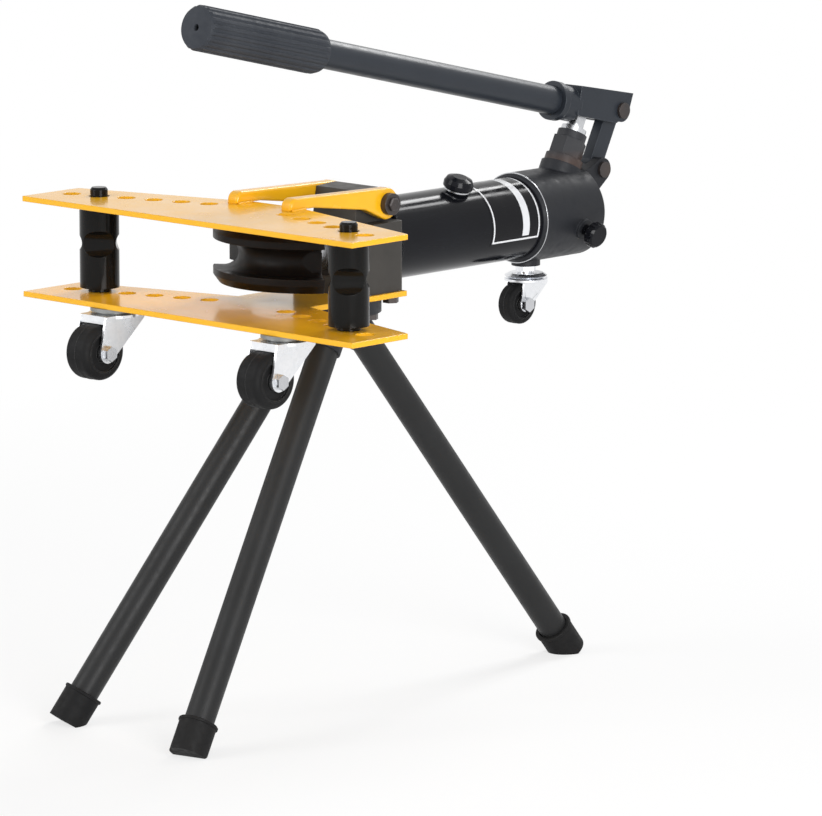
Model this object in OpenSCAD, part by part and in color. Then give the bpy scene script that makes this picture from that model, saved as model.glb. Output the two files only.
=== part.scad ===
// Hydraulic pipe bender on a tripod: two wing plates with rollers, a ram with
// a bending die, a reservoir with a hand pump behind it, and three casters.
// Millimetres. X runs along the wings, Y from the wings to the pump, Z is up.
// Sizes are worked out in the machine's own frame (wings' front edge at y = 0,
// lower plate's top at z = 0), then every piece is moved so that the origin is
// on the floor, in the middle of the object's box.

/* [Wing plates] */
// Length of each wing plate, end to end
wing_l = 412; // [390:1:430]
// Thickness of each wing plate
plate_t = 5; // [4:0.5:6]
// Depth of a wing plate at its ends
wing_end_d = 70; // [64:1:76]
// Rise of the slanted rear edges, per millimetre along the wing
rear_slope = 0.27; // [0.22:0.01:0.3]
// Height from the lower plate's top to the upper plate's top
plate_pitch = 87; // [87:0.5:90]
// Half width of the lower plate's tongue under the head block
tongue_half_w = 45; // [44:1:52]

/* [Roller holes] */
// Distance of each roller from the middle
roller_x = 156; // [150:1:160]
// Distance of each roller from the front edge
roller_y = 48; // [46:1:50]
// Pitch of the roller holes along the wing
hole_pitch = 27; // [25:0.5:28]
// Rise of the hole rows, per millimetre along the wing
hole_slope = 0.3; // [0.26:0.01:0.32]
// Diameter of the free roller holes
hole_d = 16.5; // [16.2:0.1:18]

/* [Rollers] */
// Diameter of a roller's body
roller_d = 36; // [34:1:38]
// Diameter of a roller's end stubs
stub_d = 16; // [15:0.5:16]
// Radius of the largest of the four scoops round a roller's middle
scoop_r = 14; // [12:0.5:15]
// Depth of the largest scoop
scoop_depth = 6.7; // [5:0.1:8]

/* [Bending die] */
// Outer radius of the die
die_r = 87; // [84:1:90]
// Diameter of the pipe groove
groove_d = 27; // [24:0.5:28]
// Height of the die
die_h = 53; // [50:1:56]
// Half of the angle that the die spans
die_half_angle = 53; // [48:1:56]

/* [Ram and cylinder] */
// Diameter of the ram
ram_d = 38; // [36:1:40]
// Height of the ram's axis over the lower plate
axis_z = 41; // [40:0.5:42]
// Outer diameter of the reservoir tube
tube_d = 76; // [76:1:78]
// Outer diameter of the tail block
tail_d = 85; // [84:1:88]
// Length of the reservoir tube
tube_l = 191; // [185:1:195]

/* [Pump and handle] */
// Lean of the pump towards the back, degrees
pump_lean = 27; // [25:1:29]
// Rise of the handle towards the front, degrees
handle_rise = 13; // [12:0.5:14]
// Distance between the fulcrum pin and the plunger pin
lever_arm = 40; // [39:0.5:42]
// Diameter of the handle tube
handle_d = 27; // [26:0.5:28]
// Distance from the fulcrum to the end of the handle
handle_l = 563; // [550:1:570]
// Diameter of the grip
grip_d = 41; // [39:1:42]
// Length of the grip
grip_l = 157; // [150:1:165]

/* [Stand and casters] */
// Height of the lower plate's top over the floor
stand_h = 377; // [370:1:385]
// Diameter of the tripod legs
leg_d = 27; // [26:0.5:28]
// Distance of each front foot from the middle
front_foot_x = 85; // [80:1:90]
// Diameter of the front caster wheels
wheel_d = 50; // [48:1:50]
// Diameter of the tail caster wheel
tail_wheel_d = 38; // [36:1:38]

/* [Hidden] */
$fn = 96;
fit = 0.1;
seat_gap = 0.3;

wing_half = wing_l / 2;
upper_z = plate_pitch - plate_t;
hole_steps = [-1, 1, 2, 3, 4];
stub_out = 8;
neck_d = 21;
neck_h = 4;
scoop_z = 45;
scoop_turn = -47;
scoop_r_share = [1, 0.8, 0.9, 0.7];
scoop_depth_share = [1, 0.4, 0.75, 0.4];

hinge_y = 220;
hinge_z = 81;
hinge_d = 16;
eye_r = 14.5;
arm_t = 13;
arm_in = 27;
arm_front_y = 95;
arm_nose_h = 11;
lug_half_w = arm_in - 0.5;

block_half_w = 42;
block_y0 = 178;
block_y1 = 240;
block_h = 64;

die_y = 160;
die_wall = 34;
groove_depth = 9;
lip_in = 5;
lip_up = 7;
boss_d = 46;
boss_y0 = 100;
boss_y1 = 136;
nose_d = 30;
nose_y = 108;

tube_y1 = block_y1 + tube_l;
tube_wall = 4;
bore_d = 54;
inner_d = 64;
piston_y0 = 350;
piston_l = 38;
spring_bore_d = 24;
tail_l = 88;
tail_y1 = tube_y1 + tail_l;

filler_y = 342;
filler_tilt = 18;
valve_y = tube_y1 + 54;
valve_drop = 16;

pump_y = tube_y1 + 69;
pump_z = axis_z + tail_d / 2;
barrel_d = 28;
collar_d = 36;
plunger_d = 16;
plunger_top = 63;
flat_l = 22;
link_l = 60;
pin_d = 10;
eye_link_r = 11;
cheek_in = 6;
cheek_out = 16;
cheek_r = 15;
cheek_low = 13;
socket_back = 12;
socket_top = 18;
mouth_u = 64;
mouth_l = 20;
handle_drop = 3;
slot_back = 1.8;
slot_front = 1.8;
slot_play = 1.6;
blind_wall = 3;

// Places of the plunger pin, the fulcrum pin and the link's lower pin
pump_dir = [0, sin(pump_lean), cos(pump_lean)];
handle_dir = [0, -cos(handle_rise), sin(handle_rise)];
plunger_pin_at = [0, pump_y, pump_z] + plunger_top * pump_dir;
fulcrum_at = plunger_pin_at - lever_arm * handle_dir;
link_pin_at = fulcrum_at - link_l * pump_dir;

caster_x = 107;
caster_y = 18;
caster_trail = 24;
caster_drop = 38;
wheel_w = 28;
tail_caster_y = tube_y1 + 19;
tail_stem_z = -12;
tail_trail = 12;
tail_drop = 28;
tail_wheel_w = 17;
axle_d = 8;

head_z0 = -17;
head_y = 187;
head_d = 92;
tripod_turn = 4.5;
leg_top_front = turned([15.5, 180, head_z0]);
leg_top_left = turned([-15.5, 180, head_z0]);
leg_top_rear = turned([0, 203, head_z0]);
foot_right = turned([front_foot_x, -58, -stand_h]);
foot_left = turned([-front_foot_x, -58, -stand_h]);
foot_rear = turned([0, 487, -stand_h]);
bolt_spots = [[34, 203, head_z0], [33, 231, -plate_t]];
foot_d = 34;
foot_l = 32;
foot_seam = 37;
foot_sole = 2;
leg_lift = 14;
leg_gap = 26;
socket_l = 38;
leg_spots = [[foot_left, leg_top_left], [foot_right, leg_top_front], [foot_rear, leg_top_rear]];

// Middle of the object's box along Y, in the machine's frame
frame_y = 253.19;

paint = "#E6A51A";
gloss_black = "#15161A";
dark_grey = "#2E3238";
slate = "#3B444D";
rubber = "#1B1B1C";
zinc = "#C9CCCF";
bright = "#B9BCC0";

// Depth of a wing plate's rear edge at a distance from the middle
function rear_edge(x) = wing_end_d + rear_slope * (wing_half - x);

// Place of a roller hole, counted in pitches inboard from the roller
function hole_at(step) = [roller_x - step * hole_pitch, roller_y + step * hole_pitch * hole_slope];

// A place on the tripod, turned a little about the tripod's head as it stands
function turned(p) = [
    p[0] * cos(tripod_turn) + (p[1] - head_y) * sin(tripod_turn),
    head_y - p[0] * sin(tripod_turn) + (p[1] - head_y) * cos(tripod_turn),
    p[2]
];

// From the machine's frame to the floor frame
module placed() translate([0, -frame_y, stand_h]) children();

// A shape drawn along Z, laid along the ram's axis from a distance y
module along_ram(y) translate([0, y, axis_z]) rotate([-90, 0, 0]) children();

// A shape drawn along Z, stood on the tail block along the pump's axis
module along_pump() translate([0, pump_y, pump_z]) rotate([-pump_lean, 0, 0]) children();

// A shape drawn along Z from the fulcrum towards the grip
module along_handle() translate(fulcrum_at) rotate([90 - handle_rise, 0, 0]) children();

// A flat profile of (y, z) points, made thick along X from x0
module side_profile(x0, w) translate([x0, 0, 0]) rotate([90, 0, 90]) linear_extrude(w) children();

// A shape drawn along Z, turned to point along X at (y, z)
module across(at) translate([0, at[1], at[2]]) rotate([0, 90, 0]) children();

module ring(d_out, d_in, h) difference() {
    cylinder(d = d_out, h = h);
    translate([0, 0, -1]) cylinder(d = d_in, h = h + 2);
}

module rounded_rect(x0, y0, x1, y1, r) {
    translate([x0 + r, y0]) square([x1 - x0 - 2 * r, y1 - y0]);
    translate([x0, y0 + r]) square([x1 - x0, y1 - y0 - 2 * r]);
    for (x = [x0 + r, x1 - r]) for (y = [y0 + r, y1 - r]) translate([x, y]) circle(r);
}

// Wing plates

module wing_outline(centre_half_w) polygon([
    [-wing_half, 0], [wing_half, 0], [wing_half, wing_end_d],
    [centre_half_w, rear_edge(centre_half_w)], [-centre_half_w, rear_edge(centre_half_w)],
    [-wing_half, wing_end_d]
]);

module wing_holes(roller_hole_d) {
    for (side = [-1, 1]) {
        translate([side * roller_x, roller_y]) circle(d = roller_hole_d);
        for (step = hole_steps) translate([side * hole_at(step)[0], hole_at(step)[1]]) circle(d = hole_d);
    }
}

module lower_plate() color(paint) placed() translate([0, 0, -plate_t]) linear_extrude(plate_t)
    difference() {
        union() {
            wing_outline(tongue_half_w);
            translate([-tongue_half_w, roller_y]) square([2 * tongue_half_w, block_y1 - roller_y]);
        }
        wing_holes(stub_d + fit);
    }

module upper_plate() color(paint) placed() translate([0, 0, upper_z]) linear_extrude(plate_t)
    difference() {
        wing_outline(arm_in);
        wing_holes(stub_d + 3);
    }

// One of the two arms that carry the upper plate on the hinge pin
module hinge_arm(x0) color(paint) placed() difference() {
    union() {
        side_profile(x0, arm_t) polygon([
            [arm_front_y, plate_pitch], [arm_front_y, plate_pitch + arm_nose_h - 5],
            [arm_front_y + 1.5, plate_pitch + arm_nose_h - 1.5], [arm_front_y + 5, plate_pitch + arm_nose_h],
            [hinge_y - 3, hinge_z + eye_r - 0.6], [hinge_y, hinge_z], [hinge_y - 3, hinge_z - eye_r + 1],
            [hinge_y - 28, plate_pitch - 9], [rear_edge(arm_in) + 8, plate_pitch]
        ]);
        translate([x0, 0, 0]) across([0, hinge_y, hinge_z]) cylinder(r = eye_r, h = arm_t);
    }
    across([0, hinge_y, hinge_z]) cylinder(d = hinge_d + fit, h = 4 * (arm_in + arm_t), center = true);
}
module hinge_arm_left() hinge_arm(-arm_in - arm_t);
module hinge_arm_right() hinge_arm(arm_in);

module hinge_pin() color(dark_grey) placed() across([0, hinge_y, hinge_z]) {
    translate([0, 0, -arm_in - arm_t - 5]) cylinder(d = hinge_d, h = 2 * (arm_in + arm_t) + 10);
    translate([0, 0, arm_in + arm_t + 0.5]) cylinder(d = hinge_d + 4, h = 6);
}

// Rollers, each a body with a scoop for each of four pipe sizes, a neck and two stubs

module roller(x) color(gloss_black) placed() translate([x, roller_y, 0]) difference() {
    union() {
        translate([0, 0, -plate_t - 3]) cylinder(d = stub_d, h = plate_t + 4);
        translate([0, 0, seat_gap]) cylinder(d = neck_d, h = neck_h);
        translate([0, 0, neck_h]) cylinder(d = roller_d, h = upper_z - neck_h - 2 * seat_gap);
        translate([0, 0, upper_z - 1]) cylinder(d = stub_d, h = plate_t + stub_out - 1);
        translate([0, 0, plate_pitch + stub_out - 2]) cylinder(d1 = stub_d, d2 = stub_d - 3, h = 2);
    }
    for (i = [0:3]) scoop(scoop_turn + 90 * i, scoop_r * scoop_r_share[i], scoop_depth * scoop_depth_share[i]);
}
module scoop(turn, r, depth) rotate([0, 0, turn]) translate([roller_d / 2 - depth + r, 0, scoop_z])
    rotate([90, 0, 0]) cylinder(r = r, h = roller_d + 4, center = true);
module roller_left() roller(-roller_x);
module roller_right() roller(roller_x);

// Head block, cylinder and tail

module head_block() color(dark_grey) placed() difference() {
    union() {
        linear_extrude(block_h) rounded_rect(-block_half_w, block_y0, block_half_w, block_y1, 6);
        side_profile(-lug_half_w, 2 * lug_half_w) {
            polygon([
                [hinge_y - 30, block_h - 4], [block_y1, block_h - 4],
                [hinge_y + eye_r, hinge_z], [hinge_y, hinge_z + eye_r - 0.5], [hinge_y - 24, hinge_z + eye_r - 2]
            ]);
            translate([hinge_y, hinge_z]) circle(eye_r - 0.5);
        }
    }
    along_ram(block_y0 - 1) cylinder(d = ram_d + fit, h = block_y1 - block_y0 + 2);
    along_ram(block_y0 - 1) cylinder(d = ram_d + 12, h = 9);
    across([0, hinge_y, hinge_z]) cylinder(d = hinge_d + fit, h = 4 * lug_half_w, center = true);
}

module rod_wiper() color(rubber) placed() along_ram(block_y0) ring(ram_d + 12, ram_d + fit, 8);

module reservoir_tube() color(gloss_black) placed() difference() {
    union() {
        along_ram(block_y1) cylinder(d = tube_d, h = tube_l);
        filler_place() translate([0, 0, tube_d / 2 - 6]) cylinder(d = 19, h = 10);
    }
    along_ram(block_y1 - 1) cylinder(d = tube_d - 2 * tube_wall, h = tube_l + 2);
    filler_place() cylinder(d = pin_d + fit, h = tube_d);
}

module filler_place() translate([0, filler_y, axis_z]) rotate([0, filler_tilt, 0]) children();

module filler_cap() color(gloss_black) placed() filler_place() {
    translate([0, 0, tube_d / 2 - 3]) cylinder(d = pin_d, h = 8);
    translate([0, 0, tube_d / 2 + 4 + seat_gap]) rotate_extrude() {
        square([14, 4]);
        polygon([[0, 4], [14, 4], [12, 8], [7, 10], [0, 10]]);
    }
}

module inner_cylinder() color(bright) placed() along_ram(block_y1) ring(inner_d, bore_d, tube_l);

module tail_block() color(dark_grey) placed() difference() {
    union() {
        along_ram(tube_y1) rotate_extrude() polygon([
            [0, 0], [tail_d / 2 - 3, 0], [tail_d / 2, 3], [tail_d / 2, tail_l - 6],
            [tail_d / 2 - 5, tail_l], [0, tail_l]
        ]);
        along_pump() translate([0, 0, -26]) cylinder(d = 40, h = 26);
        translate([0, tail_caster_y, -plate_t]) cylinder(d = 27, h = 20);
        valve_place() translate([0, 0, 30]) cylinder(d = 20, h = 15);
        side_profile(-cheek_out, 2 * cheek_out) {
            polygon([
                [tail_y1 - 12, axis_z - 4], [tail_y1 - 12, axis_z + 34],
                [link_pin_at[1], link_pin_at[2] + eye_link_r],
                [link_pin_at[1] + 7, link_pin_at[2] - 8.5]
            ]);
            translate([link_pin_at[1], link_pin_at[2]]) circle(eye_link_r);
        }
    }
    along_pump() translate([0, 0, -24]) cylinder(d = 22 + fit, h = 30);
    along_pump() cylinder(d = collar_d + 1, h = 40);
    valve_place() translate([0, 0, 26]) cylinder(d = pin_d + fit, h = 30);
    translate([0, tail_caster_y, -plate_t - 1]) cylinder(d = 12 + fit, h = 18);
    across(link_pin_at) cylinder(d = pin_d + fit, h = 4 * cheek_out, center = true);
    translate([-cheek_in, link_pin_at[1] - eye_link_r - 2, 0]) cube([2 * cheek_in, 40, 120]);
}

module valve_place() translate([0, valve_y, axis_z]) rotate([0, 90 + valve_drop, 0]) children();

module release_valve() color(gloss_black) placed() valve_place() {
    translate([0, 0, 27]) cylinder(d = pin_d, h = 26);
    difference() {
        translate([0, 0, 52]) rotate_extrude() polygon([[0, 0], [9, 0], [12, 3], [12, 9], [10, 11], [0, 11]]);
        for (turn = [0:45:315]) rotate([0, 0, turn]) translate([14, 0, 51]) cylinder(r = 3, h = 13);
    }
}

// Ram with its piston, seal and die

module ram_rod() color(bright) placed() difference() {
    union() {
        along_ram(nose_y) cylinder(d = nose_d, h = boss_y1 - nose_y + 1);
        along_ram(boss_y1) cylinder(d = ram_d, h = piston_y0 - boss_y1);
    }
    along_ram(block_y0) cylinder(d = spring_bore_d, h = piston_y0);
    translate([0, boss_y1 - 12, axis_z]) cylinder(d = 6 + fit, h = ram_d);
}

module piston() color(bright) placed() along_ram(piston_y0) rotate_extrude() difference() {
    translate([spring_bore_d / 2, 0]) square([(bore_d - fit - spring_bore_d) / 2, piston_l]);
    translate([bore_d / 2 - 5, piston_l / 2 - 4]) square([6, 8]);
}

module piston_seal() color(rubber) placed() along_ram(piston_y0 + piston_l / 2 - 4)
    ring(bore_d - fit, bore_d - 10 + fit, 8);

// Steel former: a grooved arc, a web and the socket that fits over the ram's nose
module bending_die() color(gloss_black) placed() difference() {
    union() {
        translate([0, die_y, axis_z]) rotate([0, 0, -90 - die_half_angle])
            rotate_extrude(angle = 2 * die_half_angle) difference() {
                die_section();
                translate([die_r - groove_depth, 0]) circle(d = groove_d);
                translate([die_r - groove_depth, -groove_d / 2]) square([groove_depth + 1, groove_d]);
            }
        translate([0, 0, axis_z - 9]) linear_extrude(18) polygon([
            [-58, 116], [-20, boss_y0 + 2], [20, boss_y0 + 2], [58, 116], [20, boss_y1 - 4], [-20, boss_y1 - 4]
        ]);
        along_ram(boss_y0) cylinder(d = boss_d, h = boss_y1 - boss_y0);
    }
    along_ram(nose_y - seat_gap) cylinder(d = nose_d + fit, h = boss_y1);
    translate([0, boss_y1 - 12, axis_z]) cylinder(d = 6 + fit, h = boss_d);
}

module die_section() polygon([
    [die_r - die_wall, -die_h / 2], [die_r - lip_in, -die_h / 2], [die_r, -die_h / 2 + lip_up],
    [die_r, die_h / 2 - lip_up], [die_r - lip_in, die_h / 2], [die_r - die_wall, die_h / 2]
]);

module die_screw() color(bright) placed() translate([0, boss_y1 - 12, axis_z + 13]) {
    cylinder(d = 6, h = boss_d / 2 - 11);
    translate([0, 0, boss_d / 2 - 12]) cylinder(d = 6, h = 3);
}

// Extension spring in the hollow ram, one tube along a helix
spring_r = 8.5;
wire_r = 1.6;
spring_turns = 20;
rings_per_turn = 8;
wire_sides = 6;
spring_y0 = block_y0 + 6;
spring_y1 = tube_y1 - 3;
spring_rings = spring_turns * rings_per_turn;
function spring_angle(i) = 360 * i / rings_per_turn;
function spring_point(i, side) = let (a = spring_angle(i), b = 360 * side / wire_sides)
    [
        (spring_r + wire_r * cos(b)) * cos(a),
        spring_y0 + (spring_y1 - spring_y0) * i / spring_rings + wire_r * sin(b),
        axis_z + (spring_r + wire_r * cos(b)) * sin(a)
    ];
spring_gap = (spring_y1 - spring_y0) / spring_turns - 2 * wire_r;
echo(spring_gap = spring_gap);
module return_spring() color(bright) placed() polyhedron(
    points = [for (i = [0:spring_rings]) for (s = [0:wire_sides - 1]) spring_point(i, s)],
    faces = concat(
        [for (i = [0:spring_rings - 1]) for (s = [0:wire_sides - 1])
            [i * wire_sides + s, i * wire_sides + (s + 1) % wire_sides, (i + 1) * wire_sides + s]],
        [for (i = [0:spring_rings - 1]) for (s = [0:wire_sides - 1])
            [i * wire_sides + (s + 1) % wire_sides, (i + 1) * wire_sides + (s + 1) % wire_sides,
                (i + 1) * wire_sides + s]],
        [for (s = [1:wire_sides - 2]) [0, s + 1, s]],
        [for (s = [1:wire_sides - 2]) spring_rings * wire_sides * [1, 1, 1] + [0, s, s + 1]]
    )
);

// Hand pump

module pump_barrel() color(dark_grey) placed() along_pump() difference() {
    union() {
        translate([0, 0, -24]) cylinder(d = 22, h = 25);
        cylinder(d = collar_d, h = 8);
        cylinder(d = barrel_d + 5, h = 26, $fn = 6);
        cylinder(d = barrel_d, h = 33);
    }
    translate([0, 0, -21]) cylinder(d = plunger_d + fit, h = 60);
}

module pump_gland() color(bright) placed() along_pump() translate([0, 0, 33]) ring(24, plunger_d + fit, 5);

module pump_plunger() color(bright) placed() difference() {
    union() {
        along_pump() translate([0, 0, -16]) cylinder(d = plunger_d, h = plunger_top + 8);
        along_pump() intersection() {
            translate([-cheek_in + 0.5, -8, plunger_top - 10]) cube([2 * cheek_in - 1, 16, 11]);
            translate([0, 0, plunger_top - 12]) cylinder(d = plunger_d, h = 14);
        }
        across(plunger_pin_at) cylinder(r = 8, h = 2 * cheek_in - 1, center = true);
    }
    along_pump() for (side = [-1, 1])
        translate([side * (cheek_in - 0.5) - (side < 0 ? 10 : 0), -10, plunger_top - flat_l]) cube([10, 20, flat_l + 10]);
    across(plunger_pin_at) cylinder(d = pin_d + fit, h = 30, center = true);
}

module plunger_pin() color(bright) placed() across(plunger_pin_at)
    cylinder(d = pin_d, h = 2 * (cheek_out - blind_wall) - 1, center = true);

// A strap with an eye at each end, from the tail's forked lug up to the fulcrum
module fulcrum_link() color(dark_grey) placed() side_profile(-cheek_in + 0.5, 2 * cheek_in - 1) difference() {
    union() {
        for (end = [link_pin_at, fulcrum_at]) translate([end[1], end[2]]) circle(eye_link_r);
        translate([link_pin_at[1], link_pin_at[2]]) rotate(-pump_lean) translate([-9, 0]) square([18, link_l]);
    }
    for (end = [link_pin_at, fulcrum_at]) translate([end[1], end[2]]) circle(d = pin_d + fit);
}

module headed_pin(at) color(dark_grey) placed() across(at) {
    cylinder(d = pin_d, h = 2 * cheek_out + 6, center = true);
    for (side = [-1, 1]) translate([0, 0, side * (cheek_out + 1.8)]) cylinder(d = pin_d + 5, h = 3, center = true);
}
module fulcrum_pin() headed_pin(fulcrum_at);
module link_pin() headed_pin(link_pin_at);

// Forked casting that turns on the fulcrum, drives the plunger and holds the handle
module handle_socket() color(slate) placed() difference() {
    along_handle() difference() {
        union() {
            translate([0, -handle_drop, mouth_u - 6]) cylinder(d = handle_d + 6, h = mouth_l + 6);
            translate([0, -handle_drop, mouth_u + mouth_l - 7]) cylinder(d = handle_d + 10, h = 7);
            rotate([0, -90, 0]) translate([0, 0, -cheek_out]) linear_extrude(2 * cheek_out) {
                circle(eye_link_r);
                polygon([
                    [-socket_back, socket_top], [mouth_u - 2, cheek_r], [mouth_u - 2, -cheek_low],
                    [6, -cheek_low], [-socket_back + 3, -4]
                ]);
            }
        }
        translate([-cheek_in, -40, -20]) cube([2 * cheek_in, 40 + eye_link_r + 0.5, 72]);
        translate([0, -handle_drop, mouth_u + 2]) cylinder(d = handle_d + fit, h = mouth_l + 20);
        for (u = [lever_arm - slot_back, lever_arm + slot_front]) translate([0, 0, u]) rotate([0, 90, 0])
            cylinder(d = pin_d + slot_play, h = 2 * (cheek_out - blind_wall), center = true);
        translate([blind_wall - cheek_out, -(pin_d + slot_play) / 2, lever_arm - slot_back])
            cube([2 * (cheek_out - blind_wall), pin_d + slot_play, slot_back + slot_front]);
    }
    across(fulcrum_at) cylinder(d = pin_d + fit, h = 60, center = true);
}

module handle_tube() color(slate) placed() along_handle() translate([0, -handle_drop, mouth_u + 2])
    ring(handle_d, handle_d - 5, handle_l - mouth_u - 8);

module handle_grip() color(rubber) placed() along_handle() translate([0, -handle_drop, handle_l - grip_l])
    difference() {
        intersection() {
            linear_extrude(grip_l) difference() {
                circle(d = grip_d);
                for (i = [0:19]) rotate(i * 18) translate([grip_d / 2 + 0.9, 0]) circle(2.2);
            }
            rotate_extrude() polygon([
                [0, 0], [grip_d / 2 - 5, 0], [grip_d / 2 - 1.5, 3], [grip_d / 2, 8], [grip_d / 2, grip_l - 3],
                [grip_d / 2 - 2, grip_l], [0, grip_l]
            ]);
        }
        translate([0, 0, -1]) cylinder(d = handle_d + fit, h = grip_l - 5);
        cylinder(d = 6, h = grip_l + 1);
    }

// Tripod

// A shape drawn along Z at the leg's foot, pointing up the leg
module along_leg(foot, top) {
    run = top - foot;
    tilt = acos(run[2] / norm(run));
    heading = atan2(run[1], run[0]);
    translate(foot) rotate([0, tilt, heading]) children();
}

module leg(foot, top) color(dark_grey) placed() along_leg(foot, top)
    translate([0, 0, leg_lift]) ring(leg_d, leg_d - 5, norm(top - foot) - leg_lift - leg_gap);

module foot(at, top) color(rubber) placed() difference() {
    along_leg(at, top) rotate([0, 0, foot_seam]) difference() {
        translate([0, 0, foot_sole]) cylinder(d = foot_d, h = foot_l - foot_sole);
        translate([0, 0, leg_lift]) cylinder(d = leg_d + fit, h = foot_l);
    }
    translate([at[0] - foot_d, at[1] - foot_d, -stand_h - foot_d]) cube([2 * foot_d, 2 * foot_d, foot_d]);
}

module leg_front_left() leg(foot_left, leg_top_left);
module leg_front_right() leg(foot_right, leg_top_front);
module leg_rear() leg(foot_rear, leg_top_rear);
module foot_front_left() foot(foot_left, leg_top_left);
module foot_front_right() foot(foot_right, leg_top_front);
module foot_rear() foot(foot_rear, leg_top_rear);

// Casting under the tongue: a bolted disc with three leg sockets
module leg_socket_place(spot) along_leg(spot[0], spot[1]) translate([0, 0, norm(spot[1] - spot[0])]) children();
module tripod_head() color(dark_grey) placed() difference() {
    union() {
        translate([0, head_y, head_z0]) cylinder(d = head_d, h = -head_z0 - plate_t);
        intersection() {
            for (spot = leg_spots) leg_socket_place(spot)
                translate([0, 0, -socket_l]) cylinder(d = leg_d + 4, h = socket_l + 12);
            translate([-100, 60, -120]) cube([200, 260, 120 - plate_t - 3]);
        }
    }
    for (spot = leg_spots) leg_socket_place(spot)
        translate([0, 0, -socket_l - 1]) cylinder(d = leg_d + fit, h = socket_l + 1 - leg_gap + seat_gap);
    for (side = [-1, 1]) translate([side * bolt_spots[0][0], bolt_spots[0][1], -40]) cylinder(d = 8 + fit, h = 40);
}

// Two bolts hold the tripod's head and two the head block, all from below
module head_bolts() color(bright) placed() for (side = [-1, 1]) for (spot = bolt_spots)
    translate([side * spot[0], spot[1], spot[2]]) {
        translate([0, 0, -6]) cylinder(d = 15, h = 6, $fn = 6);
        translate([0, 0, -1]) cylinder(d = 8, h = -spot[2] - plate_t + 1);
    }

// Casters: a fixed race, a swivelling fork, an axle and a wheel

module caster_mount(x) color(zinc) placed() translate([x, caster_y, -plate_t]) {
    translate([0, 0, -3]) cylinder(d = 42, h = 3);
    translate([0, 0, -5]) cylinder(d = 32, h = 3);
    translate([0, 0, -9.5]) cylinder(d = 12, h = 6);
}
module caster_mount_left() caster_mount(-caster_x);
module caster_mount_right() caster_mount(caster_x);

module tail_caster_stem() color(zinc) placed() translate([0, tail_caster_y, tail_stem_z]) {
    translate([0, 0, -9.5]) cylinder(d = 12, h = 10);
    translate([0, 0, -5]) rotate_extrude() polygon([[0, 0], [16, 0], [20, 2.5], [16, 5], [0, 5]]);
    cylinder(d = 12, h = 22);
    translate([0, 0, 2]) cylinder(d = 20, h = 4.5, $fn = 6);
}

// Fork drawn with its swivel axis on Z and the mount's underside at z = 0: a
// crown plate with a front web, and two legs that taper down to the axle
module fork(trail, drop, gap_w, crown_d, sheet, axle_r, web_h) {
    leg_x = gap_w / 2 + 1;
    crown_z = -5 - seat_gap;
    front_y = -trail - 2;
    rear_y = crown_d / 2 - 2;
    difference() {
        union() {
            translate([0, 0, crown_z - sheet]) cylinder(d = crown_d, h = sheet);
            translate([-leg_x - sheet, front_y, crown_z - sheet]) cube([2 * (leg_x + sheet), rear_y - front_y, sheet]);
            translate([-leg_x - sheet, front_y, crown_z - web_h]) cube([2 * (leg_x + sheet), sheet, web_h]);
            for (side = [-1, 1]) side_profile(side > 0 ? leg_x : -leg_x - sheet, sheet) {
                polygon([
                    [front_y, crown_z], [rear_y, crown_z], [rear_y, crown_z - 5],
                    [-trail + axle_r * 0.8, -drop - axle_r * 0.6], [-trail - axle_r * 0.95, -drop + axle_r * 0.3]
                ]);
                translate([-trail, -drop]) circle(axle_r);
            }
        }
        translate([0, 0, -20]) cylinder(d = 12 + fit, h = 30);
        across([0, -trail, -drop]) cylinder(d = axle_d + fit, h = 4 * gap_w, center = true);
    }
}

module axle(trail, drop, gap_w, sheet) across([0, -trail, -drop]) {
    half = gap_w / 2 + 1 + sheet;
    cylinder(d = axle_d, h = 2 * half + 8, center = true);
    for (side = [-1, 1]) translate([0, 0, side * (half + 2.5)]) cylinder(d = 14, h = 5, center = true, $fn = 6);
}

// Wheel with round shoulders and a recess round the hub on each side
module wheel(trail, drop, d, w, shoulder) across([0, -trail, -drop]) rotate_extrude() difference() {
    union() {
        translate([0, -w / 2]) square([d / 2 - shoulder, w]);
        translate([0, -w / 2 + shoulder]) square([d / 2, w - 2 * shoulder]);
        for (side = [-1, 1]) translate([d / 2 - shoulder, side * (w / 2 - shoulder)]) circle(shoulder);
    }
    translate([-d, -w]) square([d + axle_d / 2 + fit / 2, 2 * w]);
    for (side = [-1, 1]) translate([d * 0.18, side * w / 2 - 2.5]) square([d * 0.16, 5]);
}

module front_caster_place(x) placed() translate([x, caster_y, -plate_t]) children();
module tail_caster_place() placed() translate([0, tail_caster_y, tail_stem_z]) children();

module caster_fork_left() color(zinc) front_caster_place(-caster_x)
    fork(caster_trail, caster_drop, wheel_w, 46, 2.5, 9, 7);
module caster_fork_right() color(zinc) front_caster_place(caster_x)
    fork(caster_trail, caster_drop, wheel_w, 46, 2.5, 9, 7);
module caster_axle_left() color(bright) front_caster_place(-caster_x)
    axle(caster_trail, caster_drop, wheel_w, 2.5);
module caster_axle_right() color(bright) front_caster_place(caster_x)
    axle(caster_trail, caster_drop, wheel_w, 2.5);
module caster_wheel_left() color(rubber) front_caster_place(-caster_x)
    wheel(caster_trail, caster_drop, wheel_d, wheel_w, 6);
module caster_wheel_right() color(rubber) front_caster_place(caster_x)
    wheel(caster_trail, caster_drop, wheel_d, wheel_w, 6);
module tail_caster_fork() color(zinc) tail_caster_place()
    fork(tail_trail, tail_drop, tail_wheel_w, 40, 2, 7, 3);
module tail_caster_axle() color(bright) tail_caster_place()
    axle(tail_trail, tail_drop, tail_wheel_w, 2);
module tail_caster_wheel() color(rubber) tail_caster_place()
    wheel(tail_trail, tail_drop, tail_wheel_d, tail_wheel_w, 4);

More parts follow.
